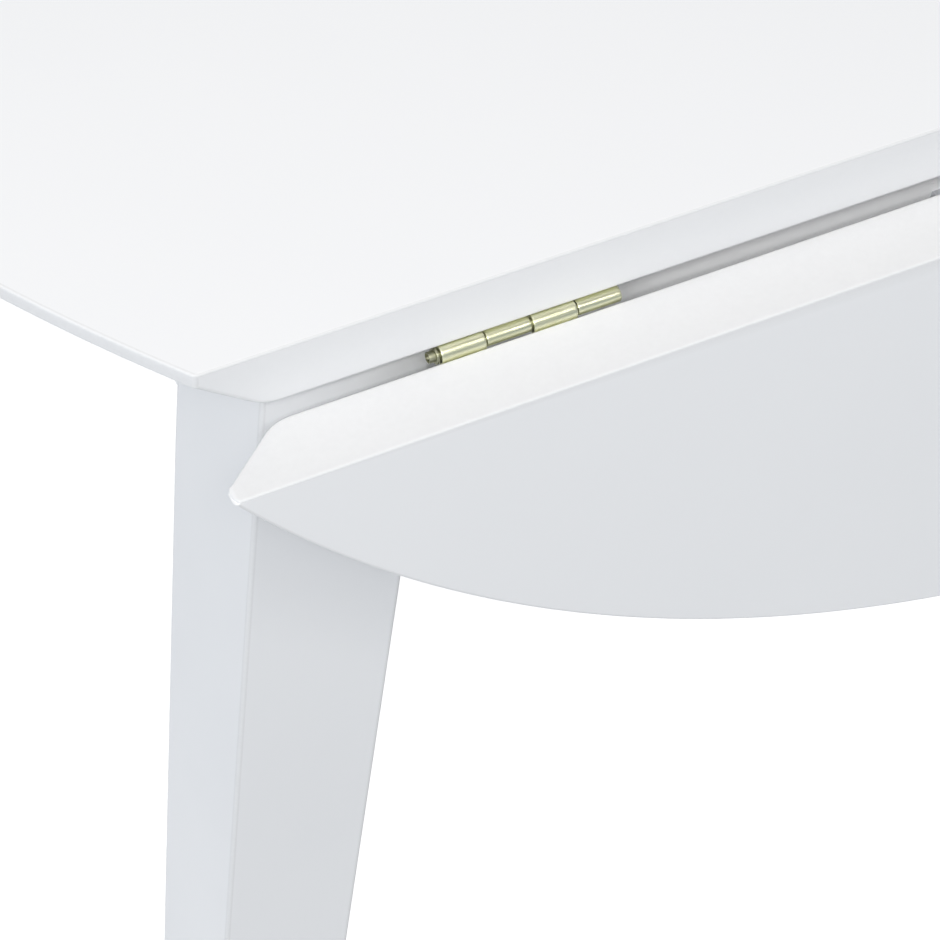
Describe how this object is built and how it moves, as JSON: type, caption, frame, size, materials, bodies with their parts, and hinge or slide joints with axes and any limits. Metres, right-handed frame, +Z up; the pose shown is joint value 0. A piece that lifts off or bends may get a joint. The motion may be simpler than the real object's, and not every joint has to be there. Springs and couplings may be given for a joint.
{
  "type": "drop-leaf dining table",
  "caption": "Round drop-leaf dining table: a fixed centre panel on square tapered legs, with side leaves that hang on brass butt hinges and swing up level on folding stays.",
  "frame": {"origin": "on the floor under the middle of the table", "axes": "+X along the leaf hinges, +Y across the table towards the rear leaf, +Z up"},
  "size_m": [0.9, 0.5914, 0.75],
  "materials": {
    "white_lacquer": "satin white lacquer over board and solid wood",
    "brass": "pale brass plating",
    "brass_screw": "pale brass plating",
    "zinc_steel": "bright zinc plating",
    "glide_plastic": "moulded nylon",
    "stop_rubber": "pale grey rubber"
  },
  "bodies": {
    "table": {"apron_stay_screws": "zinc_steel", "centre_top": "white_lacquer", "corner_bolts": "zinc_steel", "corner_nuts_and_washers": "zinc_steel", "corner_plate_front_left": "zinc_steel", "corner_plate_front_right": "zinc_steel", "corner_plate_rear_left": "zinc_steel", "corner_plate_rear_right": "zinc_steel", "corner_plate_screws": "zinc_steel", "foot_glide_front_left": "glide_plastic", "foot_glide_front_right": "glide_plastic", "foot_glide_rear_left": "glide_plastic", "foot_glide_rear_right": "glide_plastic", "front_apron": "white_lacquer", "front_left_hinge_pin": "brass", "front_left_hinge_table_plate": "brass", "front_left_stay_apron_bracket": "zinc_steel", "front_right_hinge_pin": "brass", "front_right_hinge_table_plate": "brass", "front_right_stay_apron_bracket": "zinc_steel", "leaf_stops": "stop_rubber", "left_apron": "white_lacquer", "leg_front_left": "white_lacquer", "leg_front_right": "white_lacquer", "leg_rear_left": "white_lacquer", "leg_rear_right": "white_lacquer", "rear_apron": "white_lacquer", "rear_left_hinge_pin": "brass", "rear_left_hinge_table_plate": "brass", "rear_left_stay_apron_bracket": "zinc_steel", "rear_right_hinge_pin": "brass", "rear_right_hinge_table_plate": "brass", "rear_right_stay_apron_bracket": "zinc_steel", "right_apron": "white_lacquer", "table_hinge_screws": "brass_screw", "top_angle_brackets": "zinc_steel", "top_angle_screws": "zinc_steel"},
    "front_leaf": {"front_leaf": "white_lacquer", "front_leaf_hinge_screws": "brass_screw", "front_leaf_stay_screws": "zinc_steel", "front_left_hinge_leaf_plate": "brass", "front_left_stay_leaf_bracket": "zinc_steel", "front_right_hinge_leaf_plate": "brass", "front_right_stay_leaf_bracket": "zinc_steel"},
    "front_left_stay_long_arm": {"front_left_stay_long_arm": "zinc_steel"},
    "front_left_stay_short_arm": {"front_left_stay_short_arm": "zinc_steel"},
    "front_right_stay_long_arm": {"front_right_stay_long_arm": "zinc_steel"},
    "front_right_stay_short_arm": {"front_right_stay_short_arm": "zinc_steel"},
    "rear_leaf": {"rear_leaf": "white_lacquer", "rear_leaf_hinge_screws": "brass_screw", "rear_leaf_stay_screws": "zinc_steel", "rear_left_hinge_leaf_plate": "brass", "rear_left_stay_leaf_bracket": "zinc_steel", "rear_right_hinge_leaf_plate": "brass", "rear_right_stay_leaf_bracket": "zinc_steel"},
    "rear_left_stay_long_arm": {"rear_left_stay_long_arm": "zinc_steel"},
    "rear_left_stay_short_arm": {"rear_left_stay_short_arm": "zinc_steel"},
    "rear_right_stay_long_arm": {"rear_right_stay_long_arm": "zinc_steel"},
    "rear_right_stay_short_arm": {"rear_right_stay_short_arm": "zinc_steel"}
  },
  "joints": [
    {"name": "front_leaf_fold", "type": "hinge", "parent": "table", "child": "front_leaf", "pos_m": [0, -0.27515, 0.7295], "axis": [-1, 0, 0], "range_deg": [0, 90]},
    {"name": "front_left_long_arm_turn", "type": "hinge", "parent": "table", "child": "front_left_stay_long_arm", "pos_m": [-0.12051, -0.2639, 0.6895], "axis": [-1, 0, 0], "range_deg": [0, 102.08]},
    {"name": "front_left_short_arm_turn", "type": "hinge", "parent": "front_leaf", "child": "front_left_stay_short_arm", "pos_m": [-0.12051, -0.26985, 0.6495], "axis": [-1, 0, 0], "range_deg": [-124.86, 0]},
    {"name": "front_right_long_arm_turn", "type": "hinge", "parent": "table", "child": "front_right_stay_long_arm", "pos_m": [0.12051, -0.2639, 0.6895], "axis": [-1, 0, 0], "range_deg": [0, 102.08]},
    {"name": "front_right_short_arm_turn", "type": "hinge", "parent": "front_leaf", "child": "front_right_stay_short_arm", "pos_m": [0.12051, -0.26985, 0.6495], "axis": [-1, 0, 0], "range_deg": [-124.86, 0]},
    {"name": "rear_leaf_fold", "type": "hinge", "parent": "table", "child": "rear_leaf", "pos_m": [0, 0.27515, 0.7295], "axis": [1, 0, 0], "range_deg": [0, 90]},
    {"name": "rear_left_long_arm_turn", "type": "hinge", "parent": "table", "child": "rear_left_stay_long_arm", "pos_m": [-0.12051, 0.2639, 0.6895], "axis": [1, 0, 0], "range_deg": [0, 102.08]},
    {"name": "rear_left_short_arm_turn", "type": "hinge", "parent": "rear_leaf", "child": "rear_left_stay_short_arm", "pos_m": [-0.12051, 0.26985, 0.6495], "axis": [1, 0, 0], "range_deg": [-124.86, 0]},
    {"name": "rear_right_long_arm_turn", "type": "hinge", "parent": "table", "child": "rear_right_stay_long_arm", "pos_m": [0.12051, 0.2639, 0.6895], "axis": [1, 0, 0], "range_deg": [0, 102.08]},
    {"name": "rear_right_short_arm_turn", "type": "hinge", "parent": "rear_leaf", "child": "rear_right_stay_short_arm", "pos_m": [0.12051, 0.26985, 0.6495], "axis": [1, 0, 0], "range_deg": [-124.86, 0]}
  ],
  "couplings": [
    {"joint": "front_left_long_arm_turn", "follows": "front_leaf_fold", "ratio": 1.1342},
    {"joint": "front_left_short_arm_turn", "follows": "front_leaf_fold", "ratio": -1.3872},
    {"joint": "front_right_long_arm_turn", "follows": "front_leaf_fold", "ratio": 1.1342},
    {"joint": "front_right_short_arm_turn", "follows": "front_leaf_fold", "ratio": -1.3872},
    {"joint": "rear_left_long_arm_turn", "follows": "rear_leaf_fold", "ratio": 1.1342},
    {"joint": "rear_left_short_arm_turn", "follows": "rear_leaf_fold", "ratio": -1.3872},
    {"joint": "rear_right_long_arm_turn", "follows": "rear_leaf_fold", "ratio": 1.1342},
    {"joint": "rear_right_short_arm_turn", "follows": "rear_leaf_fold", "ratio": -1.3872}
  ]
}
